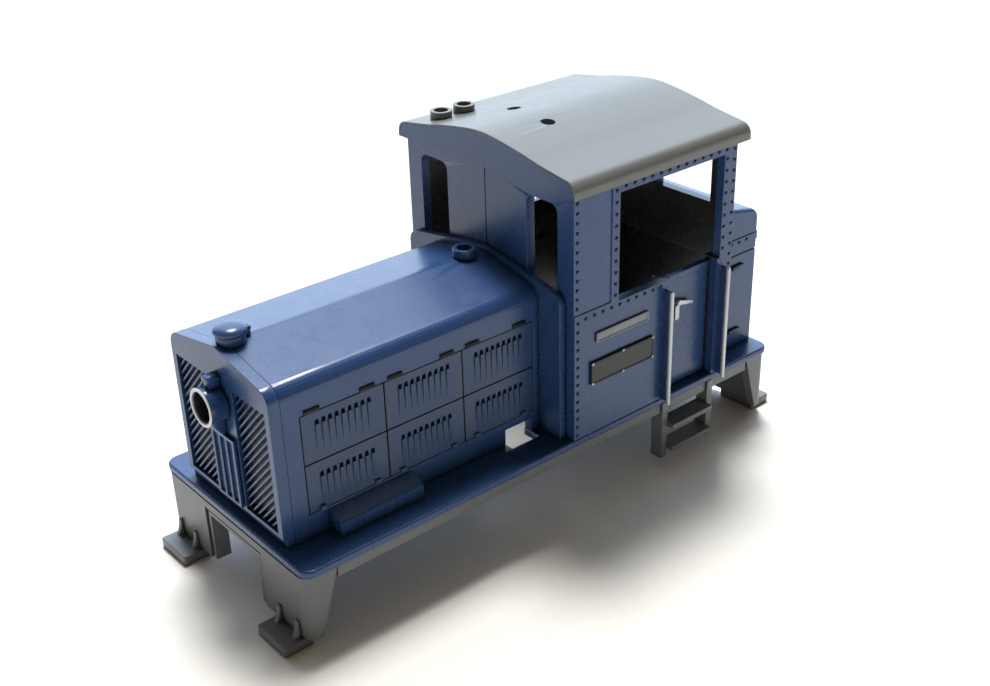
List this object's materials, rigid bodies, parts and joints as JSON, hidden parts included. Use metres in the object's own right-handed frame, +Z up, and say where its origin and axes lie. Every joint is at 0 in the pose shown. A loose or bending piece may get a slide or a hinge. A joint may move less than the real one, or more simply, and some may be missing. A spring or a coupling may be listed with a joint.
{
  "type": "model diesel locomotive body",
  "caption": "Small narrow-gauge diesel locomotive body: louvred front hood with headlamp, open-window cab with roof, rear hood, footplate frame with corner steps.",
  "frame": {"origin": "centre of the outline on the plane of the corner step undersides", "axes": "+Y along the locomotive towards the rear (the radiator end faces -Y), +X across the locomotive, +Z up"},
  "size_m": [0.0228, 0.0556, 0.0318],
  "materials": {
    "blue_moulding": "satin blue paint on moulded plastic",
    "grey_moulding": "satin grey moulded plastic",
    "roof_moulding": "satin light grey moulded plastic",
    "silver_trim": "silver-white painted edge",
    "white_rim": "white painted rim",
    "dark_plate": "blank dark plate, pale raised border",
    "pale_plate": "blank pale plate"
  },
  "bodies": {
    "frame": {"footplate": "blue_moulding", "running_board_box_right": "blue_moulding", "running_board_box_left": "blue_moulding", "front_headstock": "grey_moulding", "rear_headstock": "grey_moulding", "front_coupler_pocket": "grey_moulding", "rear_coupler_pocket": "grey_moulding", "side_sill_right": "grey_moulding", "side_sill_left": "grey_moulding", "step_front_right": "grey_moulding", "step_front_left": "grey_moulding", "step_rear_right": "grey_moulding", "step_rear_left": "grey_moulding", "cab_ladder_right": "grey_moulding", "cab_ladder_left": "grey_moulding"},
    "body_shell": {"hood_shell": "blue_moulding", "radiator_cowl": "blue_moulding", "radiator_grille_right": "blue_moulding", "radiator_grille_left": "blue_moulding", "radiator_centre_duct": "blue_moulding", "headlamp_housing": "blue_moulding", "headlamp_vent": "blue_moulding", "headlamp_bracket": "blue_moulding", "filler_neck": "blue_moulding", "exhaust_socket": "blue_moulding", "hood_flange": "blue_moulding", "cab_shell": "blue_moulding", "gable_board_front": "blue_moulding", "rear_hood": "blue_moulding", "handrail_right_front": "silver_trim", "handrail_left_front": "silver_trim", "handrail_right_rear": "silver_trim", "handrail_left_rear": "silver_trim", "headlamp_rim": "white_rim", "number_plate_right": "dark_plate", "number_plate_left": "dark_plate", "name_plate_right": "pale_plate", "name_plate_left": "pale_plate"},
    "roof": {"cab_roof": "roof_moulding", "roof_socket_front": "roof_moulding", "roof_socket_rear": "roof_moulding"},
    "cab_door_right_body": {"cab_door_right": "blue_moulding", "door_lock_plate_right": "silver_trim"},
    "cab_door_left_body": {"cab_door_left": "blue_moulding", "door_lock_plate_left": "silver_trim"},
    "door_handle_right_body": {"door_handle_right": "silver_trim"},
    "door_handle_left_body": {"door_handle_left": "silver_trim"},
    "filler_lid_body": {"filler_lid": "blue_moulding"},
    "bonnet_door_right_front_body": {"bonnet_door_right_front": "blue_moulding"},
    "bonnet_door_right_middle_body": {"bonnet_door_right_middle": "blue_moulding"},
    "bonnet_door_right_rear_body": {"bonnet_door_right_rear": "blue_moulding"},
    "bonnet_door_left_front_body": {"bonnet_door_left_front": "blue_moulding"},
    "bonnet_door_left_middle_body": {"bonnet_door_left_middle": "blue_moulding"},
    "bonnet_door_left_rear_body": {"bonnet_door_left_rear": "blue_moulding"}
  },
  "joints": [
    {"name": "body_lift_off", "type": "slide", "parent": "frame", "child": "body_shell", "axis": [0, 0, 1], "range_m": [0, 0.03]},
    {"name": "roof_lift_off", "type": "slide", "parent": "body_shell", "child": "roof", "axis": [0, 0, 1], "range_m": [0, 0.015]},
    {"name": "cab_door_right_hinge", "type": "hinge", "parent": "body_shell", "child": "cab_door_right_body", "pos_m": [0.00902, 0.01765, 0.0127], "axis": [0, 0, -1], "range_deg": [0, 85]},
    {"name": "cab_door_left_hinge", "type": "hinge", "parent": "body_shell", "child": "cab_door_left_body", "pos_m": [-0.00902, 0.01765, 0.0127], "axis": [0, 0, 1], "range_deg": [0, 85]},
    {"name": "door_handle_right_turn", "type": "hinge", "parent": "cab_door_right_body", "child": "door_handle_right_body", "pos_m": [0.0098, 0.01375, 0.0155], "axis": [-1, 0, 0], "range_deg": [0, 40], "stiffness_Nm_per_rad": 0.00002},
    {"name": "door_handle_left_turn", "type": "hinge", "parent": "cab_door_left_body", "child": "door_handle_left_body", "pos_m": [-0.0098, 0.01375, 0.0155], "axis": [-1, 0, 0], "range_deg": [0, 40], "stiffness_Nm_per_rad": 0.00002},
    {"name": "filler_lid_hinge", "type": "hinge", "parent": "body_shell", "child": "filler_lid_body", "pos_m": [0, -0.02228, 0.022], "axis": [-1, 0, 0], "range_deg": [0, 110]},
    {"name": "bonnet_door_right_front_hinge", "type": "hinge", "parent": "body_shell", "child": "bonnet_door_right_front_body", "pos_m": [0.00698, -0.01927, 0.01764], "axis": [0, -1, 0], "range_deg": [0, 95]},
    {"name": "bonnet_door_right_middle_hinge", "type": "hinge", "parent": "body_shell", "child": "bonnet_door_right_middle_body", "pos_m": [0.00698, -0.0118, 0.01764], "axis": [0, -1, 0], "range_deg": [0, 95]},
    {"name": "bonnet_door_right_rear_hinge", "type": "hinge", "parent": "body_shell", "child": "bonnet_door_right_rear_body", "pos_m": [0.00698, -0.00435, 0.01764], "axis": [0, -1, 0], "range_deg": [0, 95]},
    {"name": "bonnet_door_left_front_hinge", "type": "hinge", "parent": "body_shell", "child": "bonnet_door_left_front_body", "pos_m": [-0.00698, -0.01927, 0.01764], "axis": [0, 1, 0], "range_deg": [0, 95]},
    {"name": "bonnet_door_left_middle_hinge", "type": "hinge", "parent": "body_shell", "child": "bonnet_door_left_middle_body", "pos_m": [-0.00698, -0.0118, 0.01764], "axis": [0, 1, 0], "range_deg": [0, 95]},
    {"name": "bonnet_door_left_rear_hinge", "type": "hinge", "parent": "body_shell", "child": "bonnet_door_left_rear_body", "pos_m": [-0.00698, -0.00435, 0.01764], "axis": [0, 1, 0], "range_deg": [0, 95]}
  ]
}
